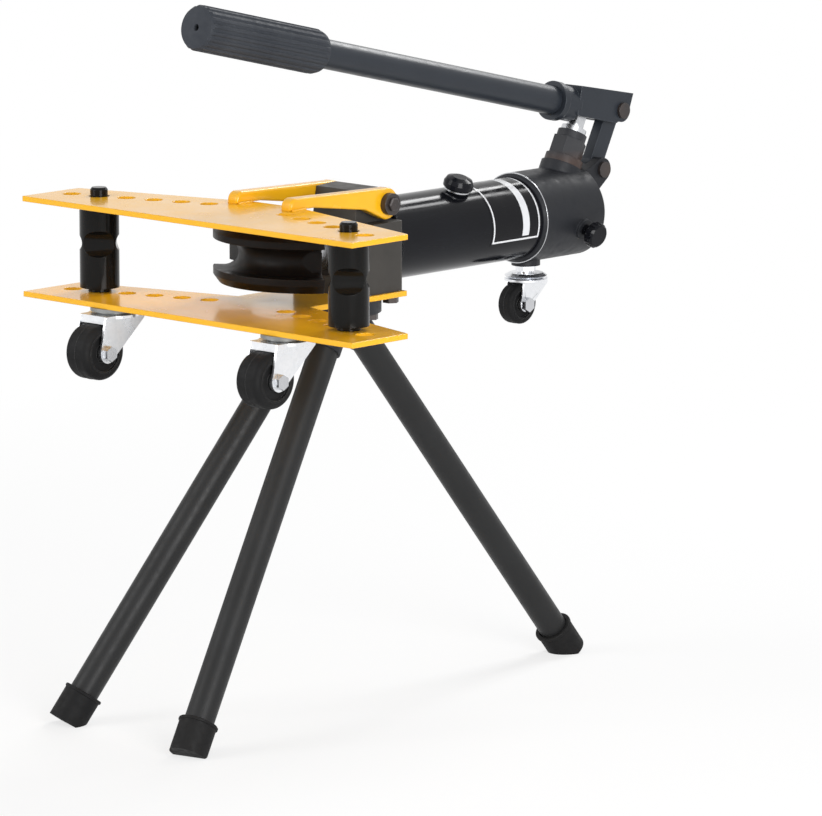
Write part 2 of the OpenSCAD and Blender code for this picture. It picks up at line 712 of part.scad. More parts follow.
lower_plate();
head_block();
rod_wiper();
reservoir_tube();
inner_cylinder();
tail_block();
pump_barrel();
pump_gland();
fulcrum_link();
fulcrum_pin();
link_pin();
hinge_pin();
return_spring();
tripod_head();
head_bolts();
leg_front_left();
leg_front_right();
leg_rear();
foot_front_left();
foot_front_right();
foot_rear();
caster_mount_left();
caster_mount_right();
tail_caster_stem();
upper_plate();
hinge_arm_left();
hinge_arm_right();
roller_left();
roller_right();
ram_rod();
piston();
piston_seal();
bending_die();
die_screw();
handle_socket();
handle_tube();
handle_grip();
pump_plunger();
plunger_pin();
release_valve();
filler_cap();
caster_fork_left();
caster_axle_left();
caster_wheel_left();
caster_fork_right();
caster_axle_right();
caster_wheel_right();
tail_caster_fork();
tail_caster_axle();
tail_caster_wheel();
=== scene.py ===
# %% [markdown]
# A hydraulic pipe bender on its tripod. The solids come from the packed CAD
# model, already in place and in metres. This file gives them their finishes,
# adds the small things that a maker leaves behind, such as welds, clips and a
# stuck-on label, and sets up a plain studio. The solids could be rebuilt here,
# but then size and motion would have to be kept right twice.

# %% Load the solids
import math
import bmesh
import bpy
from mathutils import Matrix, Vector


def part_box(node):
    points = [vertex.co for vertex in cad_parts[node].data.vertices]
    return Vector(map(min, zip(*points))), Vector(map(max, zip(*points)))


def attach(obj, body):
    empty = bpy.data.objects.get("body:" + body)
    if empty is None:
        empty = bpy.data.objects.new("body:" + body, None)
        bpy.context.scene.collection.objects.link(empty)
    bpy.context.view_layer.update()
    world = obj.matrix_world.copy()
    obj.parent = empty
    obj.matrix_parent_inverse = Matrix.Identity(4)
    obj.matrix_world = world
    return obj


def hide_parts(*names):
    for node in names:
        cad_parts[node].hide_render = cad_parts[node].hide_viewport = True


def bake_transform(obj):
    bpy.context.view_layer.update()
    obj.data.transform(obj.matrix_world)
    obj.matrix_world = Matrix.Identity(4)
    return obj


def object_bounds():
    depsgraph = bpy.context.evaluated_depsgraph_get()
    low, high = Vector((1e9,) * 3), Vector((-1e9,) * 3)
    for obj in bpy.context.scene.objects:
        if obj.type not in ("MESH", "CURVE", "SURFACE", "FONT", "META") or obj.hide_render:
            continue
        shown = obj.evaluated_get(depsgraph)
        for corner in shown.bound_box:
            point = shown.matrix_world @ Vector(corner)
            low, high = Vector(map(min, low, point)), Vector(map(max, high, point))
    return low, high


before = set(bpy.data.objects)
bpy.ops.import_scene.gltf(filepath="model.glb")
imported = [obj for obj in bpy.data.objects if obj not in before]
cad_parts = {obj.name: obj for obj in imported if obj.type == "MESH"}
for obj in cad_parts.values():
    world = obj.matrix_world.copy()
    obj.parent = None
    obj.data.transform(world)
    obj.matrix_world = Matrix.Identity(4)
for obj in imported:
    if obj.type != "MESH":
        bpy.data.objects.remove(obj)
cad_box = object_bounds()

# %% [markdown]
# The bender is easiest to think of from its wings: the wings' front edge and the
# lower plate's top are where its drawing starts. One helper turns a place in
# millimetres on that drawing into a place in the scene, and it takes its start
# from the plate itself, so that nothing moves apart if the stand gets taller.

# %% Places on the drawing
MM = 0.001
plate_low, plate_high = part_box("lower_plate")
wing_front = plate_low.y
plate_top = plate_high.z


def spot(x, y, z):
    """A place on the drawing, in millimetres, as a place in the scene."""
    return Vector((x * MM, wing_front + y * MM, plate_top + z * MM))


print("plate top is", round(plate_top / MM), "mm above the floor")

# %% [markdown]
# Every finish below is a Principled shader fed by noise. Painted, cast and
# rubber surfaces differ in how large the noise is and what it drives: colour,
# roughness or bump. A small class keeps a material's nodes together, so each
# finish reads as a short recipe. Pictures of real surfaces would look as good
# from one distance, but noise stays sharp at every distance.

# %% A helper for finishes
class Finish:
    """One material with a Principled shader, and short ways to feed it."""

    def __init__(self, name, colour, roughness, metallic=0.0):
        self.material = bpy.data.materials.new(name)
        self.material.use_nodes = True
        tree = self.material.node_tree
        self.nodes = tree.nodes
        self.links = tree.links
        self.shader = tree.nodes["Principled BSDF"]
        self.set("Base Color", (*colour, 1.0))
        self.set("Roughness", roughness)
        self.set("Metallic", metallic)
        self.place = self.nodes.new("ShaderNodeTexCoord").outputs["Object"]

    def set(self, socket, value):
        """A plain value for one of the shader's sockets."""
        self.shader.inputs[socket].default_value = value

    def stretched(self, stretch):
        """The object's own coordinates, stretched along its axes."""
        mapping = self.nodes.new("ShaderNodeMapping")
        mapping.inputs["Scale"].default_value = stretch
        self.links.new(self.place, mapping.inputs["Vector"])
        return mapping.outputs["Vector"]

    def noise(self, scale, detail=4.0, stretch=(1, 1, 1)):
        """Noise with that many blobs to a metre."""
        node = self.nodes.new("ShaderNodeTexNoise")
        node.inputs["Scale"].default_value = scale
        node.inputs["Detail"].default_value = detail
        self.links.new(self.stretched(stretch), node.inputs["Vector"])
        return node.outputs["Fac"]

    def spread(self, source, low, high, start=0.3, end=0.7):
        """A source between start and end, spread out to low and high."""
        node = self.nodes.new("ShaderNodeMapRange")
        node.inputs["From Min"].default_value = start
        node.inputs["From Max"].default_value = end
        node.inputs["To Min"].default_value = low
        node.inputs["To Max"].default_value = high
        self.links.new(source, node.inputs["Value"])
        return node.outputs["Result"]

    def tint(self, mask, other):
        """Goes from the colour so far to another one where the mask is high."""
        node = self.nodes.new("ShaderNodeMix")
        node.data_type = "RGBA"
        first, second = [s for s in node.inputs if s.type == "RGBA"]
        base = self.shader.inputs["Base Color"]
        if base.is_linked:
            self.links.new(base.links[0].from_socket, first)
        else:
            first.default_value = base.default_value
        second.default_value = (*other, 1.0)
        self.links.new(mask, node.inputs["Factor"])
        result = [s for s in node.outputs if s.type == "RGBA"][0]
        self.links.new(result, base)

    def gloss(self, source, low, high):
        """Roughness that wanders between low and high."""
        self.links.new(self.spread(source, low, high), self.shader.inputs["Roughness"])

    def bump(self, source, height_mm, strength=1.0):
        """Raises the surface by so many millimetres where the source is high."""
        node = self.nodes.new("ShaderNodeBump")
        node.inputs["Distance"].default_value = height_mm * MM
        node.inputs["Strength"].default_value = strength
        self.links.new(source, node.inputs["Height"])
        before = self.shader.inputs["Normal"]
        if before.is_linked:
            self.links.new(before.links[0].from_socket, node.inputs["Normal"])
        self.links.new(node.outputs["Normal"], before)

    def soften(self, radius_mm):
        """Rounds the look of sharp edges, and gives a mask that is high along them."""
        rounded = self.nodes.new("ShaderNodeBevel")
        rounded.inputs["Radius"].default_value = radius_mm * MM
        flat = self.nodes.new("ShaderNodeNewGeometry")
        agree = self.nodes.new("ShaderNodeVectorMath")
        agree.operation = "DOT_PRODUCT"
        self.links.new(rounded.outputs["Normal"], agree.inputs[0])
        self.links.new(flat.outputs["Normal"], agree.inputs[1])
        self.links.new(rounded.outputs["Normal"], self.shader.inputs["Normal"])
        return self.spread(agree.outputs["Value"], 1.0, 0.0, start=0.8, end=0.97)

    def corners(self, reach_mm):
        """High in holes and inner corners, where shade falls; the mask for painted shade."""
        closed_in = self.nodes.new("ShaderNodeAmbientOcclusion")
        closed_in.only_local = True
        closed_in.samples = 8
        closed_in.inputs["Distance"].default_value = reach_mm * MM
        return self.spread(closed_in.outputs["AO"], 1.0, 0.0, start=0.6, end=0.95)

    def times(self, first, second):
        """Two masks multiplied, so that it is high only where both are."""
        node = self.nodes.new("ShaderNodeMath")
        node.operation = "MULTIPLY"
        self.links.new(first, node.inputs[0])
        self.links.new(second, node.inputs[1])
        return node.outputs["Value"]


ways = [name for name in vars(Finish) if not name.startswith("_")]
print("a finish has", len(ways), "ways to feed its shader")

# %% [markdown]
# The plates and arms are sprayed a golden yellow and left glossy. Sprayed paint
# dries with a faint orange-peel ripple, and it sits thinner and paler on the
# edges. The roller holes and inner corners are painted dark brown, as painted
# shade. A clear coat over the colour gives the pale sheen that the flat tops
# show when they are seen almost edge-on.

# %% Yellow paint
yellow = Finish("golden_yellow_paint", (0.84, 0.44, 0.01), 0.34)
cloudy = yellow.noise(9.0, 3.0)
yellow.tint(yellow.spread(cloudy, 0.0, 0.4), (0.8, 0.37, 0.006))
scuffs = yellow.spread(yellow.noise(90.0, 6.0), 0.0, 0.5, start=0.52, end=0.68)
yellow.tint(yellow.times(yellow.soften(1.5), scuffs), (0.92, 0.62, 0.16))
# Painted shade: holes and inner corners are painted dark brown.
yellow.tint(yellow.corners(12.0), (0.34, 0.15, 0.012))
yellow.gloss(yellow.noise(42.0), 0.18, 0.28)
yellow.bump(yellow.noise(260.0, 2.0), 0.006, 0.2)
yellow.set("Specular IOR Level", 0.3)
yellow.set("Coat Weight", 0.24)
yellow.set("Coat Roughness", 0.04)
print("made", yellow.material.name)

# %% [markdown]
# The reservoir tube, the rollers, the die and the filler are black. The tube is
# drawn steel under a gloss coat, so its ripples run along it. The rollers and
# the die are turned and heat-blackened, which leaves them a little duller, with
# lighter patches. Their edges are painted lighter, as a painted highlight.

# %% Black finishes
gloss_black = Finish("black_gloss_coat", (0.005, 0.0052, 0.007), 0.2)
gloss_black.tint(gloss_black.spread(gloss_black.noise(14.0), 0.0, 0.5), (0.009, 0.0105, 0.014))
drawn = gloss_black.noise(60.0, 3.0, (6, 0.3, 6))
gloss_black.gloss(drawn, 0.1, 0.2)
gloss_black.bump(drawn, 0.02, 0.3)
gloss_black.set("Specular IOR Level", 0.13)

roller_black = Finish("oiled_black_steel", (0.004, 0.004, 0.004), 0.25)
roller_black.tint(roller_black.spread(roller_black.noise(24.0), 0.0, 0.5), (0.008, 0.0078, 0.007))
roller_black.gloss(roller_black.noise(75.0), 0.1, 0.2)
# Painted highlight: the roller's edges are painted lighter.
roller_black.tint(roller_black.soften(0.8), (0.012, 0.012, 0.011))
roller_black.bump(roller_black.noise(30.0, 4.0, (1, 1, 30)), 0.02, 0.3)
roller_black.set("Specular IOR Level", 0.14)

die_black = Finish("satin_black_casting", (0.006, 0.0047, 0.0041), 0.42)
die_black.tint(die_black.spread(die_black.noise(30.0), 0.0, 0.6), (0.0105, 0.0085, 0.0077))
# Painted highlight: the die's edges are painted lighter.
die_black.tint(die_black.soften(1.5), (0.03, 0.027, 0.025))
die_black.gloss(die_black.noise(90.0), 0.34, 0.5)
die_black.bump(die_black.noise(700.0, 3.0), 0.05, 0.5)
die_black.set("Specular IOR Level", 0.13)
print("made", [f.material.name for f in (gloss_black, roller_black, die_black)])

# %% [markdown]
# The head block and tail block are iron castings under thin dark paint. Sand
# from the mould leaves a fine pebbled skin, which two sizes of noise give. The
# tint of the head block leans to brown, where oil has soaked in.

# %% Cast blocks
def casting(name, colour, stain, shine):
    """Pebbled iron; its edges are painted at twice the colour's strength, a painted highlight."""
    made = Finish(name, colour, 0.5)
    made.tint(made.spread(made.noise(22.0, 5.0), 0.0, 0.7), stain)
    # Painted highlight along the edges.
    made.tint(made.soften(1.2), tuple(2 * c for c in colour))
    made.gloss(made.noise(120.0), 0.38, 0.56)
    made.bump(made.noise(420.0, 5.0), 0.1, 0.45)
    made.bump(made.noise(1500.0, 2.0), 0.04, 0.4)
    made.set("Specular IOR Level", shine)
    return made


cast_grey = casting("dark_cast_iron", (0.0145, 0.0158, 0.0195), (0.021, 0.0215, 0.0235), 0.2)
oily_cast = casting("oily_cast_iron", (0.04, 0.0375, 0.034), (0.056, 0.0515, 0.0465), 0.2)
print("made", cast_grey.material.name, oily_cast.material.name)

# %% [markdown]
# The handle and its socket are painted slate grey, and the tripod's legs are a
# darker satin grey with a fine powder texture. Powder paint has a tight pebble,
# so its bump is smaller and denser than that of a casting.

# %% Slate and leg paint
slate = Finish("slate_paint", (0.021, 0.025, 0.032), 0.36)
slate.tint(slate.spread(slate.noise(18.0), 0.0, 0.5), (0.028, 0.033, 0.0415))
# Painted highlight: the edges are painted paler.
slate.tint(slate.soften(1.6), (0.055, 0.063, 0.075))
slate.gloss(slate.noise(80.0), 0.28, 0.4)
slate.bump(slate.noise(420.0, 2.0), 0.008, 0.25)
slate.set("Specular IOR Level", 0.22)

leg_grey = Finish("powder_grey", (0.0165, 0.0167, 0.017), 0.42)
leg_grey.tint(leg_grey.spread(leg_grey.noise(16.0), 0.0, 0.5), (0.0235, 0.024, 0.0248))
leg_grey.gloss(leg_grey.noise(140.0), 0.36, 0.5)
leg_grey.bump(leg_grey.noise(1700.0, 2.0), 0.05, 0.55)
leg_grey.set("Specular IOR Level", 0.18)
print("made", slate.material.name, leg_grey.material.name)

# %% [markdown]
# Three rubbers: the ribbed grip, the feet and the wheels. Rubber is dark, dull
# and slightly dusty, and dust gathers in a pattern larger than its own grain. Its
# edges are painted paler than the dust, as a painted highlight.

# %% Rubber
def rubber(name, colour, dust, grain, edge_mm, edge_highlight):
    """Dusty rubber; its edges are painted paler than the dust by the given factor, a painted highlight.
    """
    made = Finish(name, colour, 0.6)
    made.tint(made.spread(made.noise(26.0, 6.0), 0.0, 0.6), dust)
    # Painted highlight: the edges are painted paler.
    made.tint(made.soften(edge_mm), tuple(edge_highlight * c for c in dust))
    made.gloss(made.noise(200.0), 0.5, 0.72)
    made.bump(made.noise(grain, 3.0), 0.05, 0.5)
    made.set("Specular IOR Level", 0.12)
    return made


grip_rubber = rubber("grip_rubber", (0.034, 0.038, 0.046), (0.052, 0.057, 0.066), 1400.0, 0.15, 1.2)
foot_rubber = rubber("foot_rubber", (0.008, 0.008, 0.0085), (0.016, 0.0155, 0.015), 900.0, 0.8, 2.0)
wheel_rubber = rubber("wheel_rubber", (0.007, 0.007, 0.0075), (0.014, 0.014, 0.014), 700.0, 0.8, 5.0)
print("made", grip_rubber.material.name, foot_rubber.material.name, wheel_rubber.material.name)

# %% [markdown]
# Caster sheet metal is pressed, then zinc plated, which leaves a cloudy bright
# skin with crystals in it. Pins and the ram are ground bright steel, with fine
# lines round them. Cells of a Voronoi texture make the crystals. The hinge pins
# and bolts are browned. The caster mounts are plated too, dull, and painted dark
# as painted shade for the shadow under the plate.

# %% Bright metals
zinc = Finish("zinc_plate", (0.86, 0.87, 0.89), 0.3, 1.0)
crystals = zinc.nodes.new("ShaderNodeTexVoronoi")
crystals.inputs["Scale"].default_value = 380.0
zinc.links.new(zinc.place, crystals.inputs["Vector"])
cell_tone = zinc.nodes.new("ShaderNodeSeparateColor")
zinc.links.new(crystals.outputs["Color"], cell_tone.inputs["Color"])
cell_mask = zinc.spread(cell_tone.outputs["Red"], 0.0, 0.4, start=0.0, end=1.0)
zinc.tint(cell_mask, (0.72, 0.74, 0.77))
zinc.gloss(zinc.noise(70.0), 0.22, 0.4)
zinc.bump(zinc.noise(500.0), 0.015, 0.3)

steel = Finish("ground_steel", (0.6, 0.61, 0.63), 0.25, 1.0)
steel.tint(steel.spread(steel.noise(40.0, 5.0), 0.0, 0.6), (0.48, 0.485, 0.5))
ground_lines = steel.noise(400.0, 2.0, (0.2, 3, 0.2))
steel.gloss(ground_lines, 0.16, 0.34)
steel.bump(ground_lines, 0.003, 0.2)

dark_steel = Finish("browned_steel", (0.03, 0.026, 0.026), 0.36, 0.25)
dark_steel.tint(dark_steel.spread(dark_steel.noise(60.0, 5.0), 0.0, 0.8), (0.05, 0.036, 0.031))
# Painted highlight: the edges are painted paler.
dark_steel.tint(dark_steel.soften(0.6), (0.1, 0.095, 0.095))
dark_steel.gloss(dark_steel.noise(150.0), 0.28, 0.46)
dark_steel.bump(dark_steel.noise(800.0), 0.02, 0.3)

# Painted shade: the mounts' zinc is dark for the shade under the plate.
dull_zinc_painted_shade = Finish("dull_zinc_painted_shade", (0.2, 0.205, 0.2), 0.45, 0.6)
dull_zinc_painted_shade.tint(dull_zinc_painted_shade.spread(dull_zinc_painted_shade.noise(90.0, 5.0), 0.0, 0.7), (0.3, 0.305, 0.3))
dull_zinc_painted_shade.gloss(dull_zinc_painted_shade.noise(120.0), 0.38, 0.55)
dull_zinc_painted_shade.bump(dull_zinc_painted_shade.noise(600.0), 0.02, 0.3)
print("made", [f.material.name for f in (zinc, steel, dark_steel, dull_zinc_painted_shade)])

# %% [markdown]
# The pump's barrel is dark steel like the castings, but oil runs down it and
# bakes brown. The height of a point decides how much of the brown shows: none
# near the top, all of it a little lower. A painted mask could follow each drip,
# but from any distance only the band is seen.

# %% Oil-stained pump barrel
barrel_steel = casting("oil_stained_steel", (0.024, 0.025, 0.029), (0.034, 0.034, 0.037), 0.25)
STAIN_FADES_MM = 20
STAIN_FULL_MM = 30
barrel_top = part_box("pump_barrel")[1].z
stain_end = barrel_top - STAIN_FADES_MM * MM
stain_start = barrel_top - STAIN_FULL_MM * MM
height = barrel_steel.nodes.new("ShaderNodeSeparateXYZ")
barrel_steel.links.new(barrel_steel.place, height.inputs["Vector"])
seep = barrel_steel.spread(height.outputs["Z"], 0.9, 0.0, start=stain_start, end=stain_end)
barrel_steel.tint(seep, (0.062, 0.041, 0.034))
print("barrel ends", round(barrel_top / MM), "mm above the floor")

# %% [markdown]
# Each solid now gets its finish. No real edge is perfectly sharp, and the thin
# light line along a rounded edge tells the eye what size a thing is. On most
# pieces the finish itself softens the look of an edge, and on many it also paints
# that light line in, as a painted highlight. The plates, the head block and the
# forks have long plain edges that show more, so Bevel and Weighted Normal
# modifiers round them, without touching the solid's mesh. A Weld comes first,
# because the loaded mesh is split along its sharp edges.

# %% Dress the solids
FINISH_OF = {
    yellow: ["lower_plate", "upper_plate", "hinge_arm_left", "hinge_arm_right"],
    gloss_black: ["reservoir_tube", "filler_cap", "release_valve"],
    roller_black: ["roller_left", "roller_right"],
    die_black: ["bending_die", "rod_wiper", "piston_seal"],
    cast_grey: ["tail_block", "tripod_head"],
    oily_cast: ["head_block"],
    slate: ["handle_socket", "handle_tube", "fulcrum_link"],
    leg_grey: ["leg_front_left", "leg_front_right", "leg_rear"],
    grip_rubber: ["handle_grip"],
    foot_rubber: ["foot_front_left", "foot_front_right", "foot_rear"],
    wheel_rubber: ["caster_wheel_left", "caster_wheel_right", "tail_caster_wheel"],
    zinc: ["caster_fork_left", "caster_fork_right", "tail_caster_fork", "tail_caster_stem"],
    dull_zinc_painted_shade: ["caster_mount_left", "caster_mount_right"],
    barrel_steel: ["pump_barrel"],
    steel: [
        "inner_cylinder", "return_spring", "ram_rod", "piston", "die_screw",
        "pump_gland", "pump_plunger", "plunger_pin",
        "caster_axle_left", "caster_axle_right", "tail_caster_axle",
    ],
    dark_steel: ["hinge_pin", "fulcrum_pin", "link_pin", "head_bolts"],
}
EDGE_MM = {
    "lower_plate": 0.5, "upper_plate": 0.5, "head_block": 1.6,
    "caster_fork_left": 0.4, "caster_fork_right": 0.4, "tail_caster_fork": 0.4,
}
SHARP_ANGLE = math.radians(40)
SEAM_MM = 0.01
EDGE_SEGMENTS = 3


def round_edges(piece, width_mm):
    """Modifiers that round a solid's edges."""
    weld = piece.modifiers.new("weld_seams", "WELD")
    weld.merge_threshold = SEAM_MM * MM
    bevel = piece.modifiers.new("round_edges", "BEVEL")
    bevel.width = width_mm * MM
    bevel.segments = EDGE_SEGMENTS
    bevel.limit_method = "ANGLE"
    bevel.angle_limit = SHARP_ANGLE
    piece.modifiers.new("even_normals", "WEIGHTED_NORMAL").keep_sharp = False


for finish, names in FINISH_OF.items():
    for name in names:
        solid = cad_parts[name]
        solid.data.materials.clear()
        solid.data.materials.append(finish.material)
        if name in EDGE_MM:
            round_edges(solid, EDGE_MM[name])
undressed = set(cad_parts) - {n for names in FINISH_OF.values() for n in names}
print("dressed", len(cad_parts) - len(undressed), "solids, left:", sorted(undressed))

# %% [markdown]
# Small parts that are added here are mostly round: washers, lips, beads. Each can
# be made as a profile that is swept round an axis, so one helper makes them from
# (radius, height) points in millimetres. Another joins every added piece to a
# body, so that it follows the bender's motion.

# %% Helpers for added pieces
TURN = 2 * math.pi
ROUND_SIDES = 64


def add_piece(name, mesh_data, finish, body):
    """A bmesh as an object that rides on a body, smooth but for its sharp edges."""
    mesh = bpy.data.meshes.new(name)
    bmesh.ops.recalc_face_normals(mesh_data, faces=mesh_data.faces)
    mesh_data.to_mesh(mesh)
    mesh_data.free()
    piece = bpy.data.objects.new(name, mesh)
    bpy.context.scene.collection.objects.link(piece)
    for face in mesh.polygons:
        face.use_smooth = True
    mesh.set_sharp_from_angle(angle=SHARP_ANGLE)
    mesh.materials.append(finish.material)
    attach(piece, body)
    return piece


def place_along(centre, axis):
    """A matrix that stands a piece's own Z along an axis, at a centre."""
    turn = Vector(axis).normalized().to_track_quat("Z", "Y").to_matrix().to_4x4()
    return Matrix.Translation(centre) @ turn


def lathe(profile, sides=ROUND_SIDES):
    """Sweeps a closed (radius, height) profile in millimetres round Z."""
    made = bmesh.new()
    rings = []
    for i in range(sides):
        across = math.cos(TURN * i / sides)
        sideways = math.sin(TURN * i / sides)
        rings.append([made.verts.new((r * MM * across, r * MM * sideways, h * MM)) for r, h in profile])
    count = len(profile)
    for i in range(sides):
        here, there = rings[i], rings[(i + 1) % sides]
        for k in range(count):
            made.faces.new((here[k], there[k], there[(k + 1) % count], here[(k + 1) % count]))
    return made


def rounded_ring(inner, outer, low, high, soft):
    """A washer's profile with its four corners cut off."""
    return [
        (inner + soft, low), (outer - soft, low), (outer, low + soft), (outer, high - soft),
        (outer - soft, high), (inner + soft, high), (inner, high - soft), (inner, low + soft),
    ]


def add_ring(name, centre, axis, sizes, finish, body):
    """A ring along an axis; sizes are those of rounded_ring."""
    made = lathe(rounded_ring(*sizes))
    made.transform(place_along(centre, axis))
    return add_piece(name, made, finish, body)


print("rings are swept in", ROUND_SIDES, "steps")

# %% [markdown]
# The label near the tail is a printed film: a dark field inside a thin pale
# frame, with one pale band across it. It follows the tube's curve, so it is a
# patch of a slightly wider tube. The print is left plain, as a blank label from
# the factory would be. Lines drawn by a texture would need a map of the tube,
# while narrow raised patches simply lie where they are put.

# %% Label on the tube
TUBE_R = 38.0
AXIS_Z = 41.0
FILM_MM = 0.12
PATCH_STEP_DEG = 3
label_dark = Finish("label_dark_print", (0.006, 0.006, 0.0075), 0.2)
label_dark.gloss(label_dark.noise(90.0), 0.12, 0.22)
label_dark.bump(label_dark.noise(260.0, 2.0), 0.01, 0.25)
label_dark.set("Specular IOR Level", 0.13)
label_pale = Finish("label_pale_print", (0.72, 0.73, 0.75), 0.34)
label_pale.tint(label_pale.spread(label_pale.noise(70.0, 5.0), 0.0, 0.4), (0.6, 0.61, 0.64))
label_pale.gloss(label_pale.noise(90.0), 0.28, 0.42)


def tube_patch(name, y_from, y_to, low_deg, high_deg, lift, finish):
    """A curved patch on the tube, from one angle to another above the horizon."""
    made = bmesh.new()
    steps = max(2, round((high_deg - low_deg) / PATCH_STEP_DEG))
    inner = TUBE_R + lift
    outer = inner + FILM_MM
    section = ((y_from, inner), (y_to, inner), (y_to, outer), (y_from, outer))
    rows = []
    for i in range(steps + 1):
        angle = math.radians(low_deg + (high_deg - low_deg) * i / steps)
        rows.append([
            made.verts.new(spot(r * math.cos(angle), y, AXIS_Z + r * math.sin(angle)))
            for y, r in section
        ])
    for lower, upper in zip(rows, rows[1:]):
        for k in range(4):
            made.faces.new((lower[k], lower[(k + 1) % 4], upper[(k + 1) % 4], upper[k]))
    made.faces.new(rows[0])
    made.faces.new(rows[-1])
    return add_piece(name, made, finish, "frame")


FIELD_Y = (362.0, 429.0)
FIELD_DEG = (-24.0, 104.0)
FIELD_LIFT = 0.1
PRINT_LIFT = 0.2
LINE_MM = 1.8
LINE_DEG = 2.7
MARGIN_MM = 2
MARGIN_DEG = 3
frame_y = (FIELD_Y[0] + MARGIN_MM, FIELD_Y[1] - MARGIN_MM)
frame_deg = (FIELD_DEG[0] + MARGIN_DEG, FIELD_DEG[1] - MARGIN_DEG)
tube_patch("label_field", *FIELD_Y, *FIELD_DEG, FIELD_LIFT, label_dark)
for side, edge in (("front", frame_y[0]), ("rear", frame_y[1] - LINE_MM)):
    tube_patch("label_line_" + side, edge, edge + LINE_MM, *frame_deg, PRINT_LIFT, label_pale)
for side, angle in (("lower", frame_deg[0]), ("upper", frame_deg[1] - LINE_DEG)):
    tube_patch("label_line_" + side, *frame_y, angle, angle + LINE_DEG, PRINT_LIFT, label_pale)
BAND_Y = (404.0, 413.0)
BAND_MARGIN_DEG = 6
band_deg = (frame_deg[0] + BAND_MARGIN_DEG, frame_deg[1] - BAND_MARGIN_DEG)
tube_patch("label_band", *BAND_Y, *band_deg, PRINT_LIFT, label_pale)
print("label is", FIELD_Y[1] - FIELD_Y[0], "mm long")

# %% [markdown]
# The arms are welded to the upper plate, and a weld is a row of small overlapping
# ripples. A smooth tube would read as wire, so each bead is a tube whose radius
# swells and sinks every few millimetres, laid half into the corner.

# %% Welds
RIPPLE_MM = 2.2
RIPPLE_STEPS = 4
RIPPLE_SWELL = 0.1
BEAD_SIDES = 10
END_SHARE = 0.45
END_GROWTH = 0.28


def weld_bead(name, path, radius_mm, finish, body):
    """A rippled tube along a list of scene points, closed at its ends."""
    made = bmesh.new()
    rings = []
    count = len(path)
    for i, point in enumerate(path):
        before = path[max(i - 1, 0)]
        after = path[min(i + 1, count - 1)]
        along = (after - before).normalized()
        side = along.orthogonal().normalized()
        up = along.cross(side)
        ends = min(1.0, END_SHARE + min(i, count - 1 - i) * END_GROWTH)
        swell = radius_mm * MM * ends * (1 + RIPPLE_SWELL * math.sin(i * TURN / RIPPLE_STEPS))
        angles = [TURN * k / BEAD_SIDES for k in range(BEAD_SIDES)]
        offsets = [swell * (math.cos(a) * side + math.sin(a) * up) for a in angles]
        rings.append([made.verts.new(point + offset) for offset in offsets])
    for here, there in zip(rings, rings[1:]):
        for k in range(BEAD_SIDES):
            nxt = (k + 1) % BEAD_SIDES
            made.faces.new((here[k], here[nxt], there[nxt], there[k]))
    made.faces.new(rings[0])
    made.faces.new(rings[-1])
    return add_piece(name, made, finish, body)


def straight_path(start, end):
    """Points from start to end, a few to each ripple."""
    steps = max(RIPPLE_STEPS, round((end - start).length / (RIPPLE_MM / RIPPLE_STEPS * MM)))
    return [start.lerp(end, i / steps) for i in range(steps + 1)]


ARM_FACES = {"outer": 40.0, "inner": 27.0}
UPPER_TOP = 87.0
ARM_WELD_Y = (97.0, 114.0)
ARM_WELD_R = 1.9
for side_name, side in (("left", -1), ("right", 1)):
    for face_name, x in ARM_FACES.items():
        weld_start, weld_end = [spot(side * x, y, UPPER_TOP) for y in ARM_WELD_Y]
        weld_bead(
            f"arm_weld_{side_name}_{face_name}", straight_path(weld_start, weld_end),
            ARM_WELD_R, yellow, "upper_wing",
        )
print("laid", 2 * len(ARM_FACES), "welds along the arms")

# %% [markdown]
# Where the tube meets the head block, a round weld is painted over. It is the
# same rippled bead, run round the tube. The hinge pin is kept by a collar on one
# side and a spring clip on the other, which is a ring of wire with a gap.

# %% Round weld and hinge clip
TUBE_WELD_Y = 241.0
TUBE_WELD_R = 2.0
TUBE_WELD_STEPS = 320
weld_turns = [TURN * i / TUBE_WELD_STEPS for i in range(TUBE_WELD_STEPS + 1)]
round_path = [
    spot(TUBE_R * math.cos(a), TUBE_WELD_Y, AXIS_Z + TUBE_R * math.sin(a))
    for a in weld_turns
]
weld_bead("tube_weld_front", round_path, TUBE_WELD_R, gloss_black, "frame")

HINGE = (220.0, 81.0)
CLIP_X = -42.2
CLIP_R = 9.0
CLIP_WIRE_R = 0.9
CLIP_GAP_DEG = 40
CLIP_STEPS = 60
clip_sweep = math.radians(360 - CLIP_GAP_DEG)
clip_turns = [math.radians(CLIP_GAP_DEG / 2) + clip_sweep * i / CLIP_STEPS for i in range(CLIP_STEPS + 1)]
clip_path = [
    spot(CLIP_X, HINGE[0] + CLIP_R * math.cos(a), HINGE[1] + CLIP_R * math.sin(a))
    for a in clip_turns
]
weld_bead("hinge_clip", clip_path, CLIP_WIRE_R, dark_steel, "frame")
print("hinge clip has", len(clip_path), "points")

# %% [markdown]
# The arms are forged bars, round along every edge and at the nose. The solids
# keep sharp edges, so a rounded twin stands in for each. The outline is the arm
# seen from the side. Rings of it stand next to each other across the width, and
# near the two faces each ring is drawn in a little more, along a quarter circle.
# Bevelling the solid's own mesh would pull at the thin triangles round the eye.

# %% Rounded arms
ARM_ROUND = 2.6
HOLE_ROUND = 0.5
ROUND_STEPS = 4
ARM_FRONT = 95.0
ARM_NOSE = 11.0
NOSE_R = 8.0
NOSE_ARC = (180, 98, 8)
EYE_R = 14.5
EYE_ARC = (100, -102, 40)
PIN_HOLE_R = 8.05
PIN_HOLE_ARC = (0, 350, 35)
BELLY = (192.0, 78.0)
SEAT_LEVEL_MM = 0.1


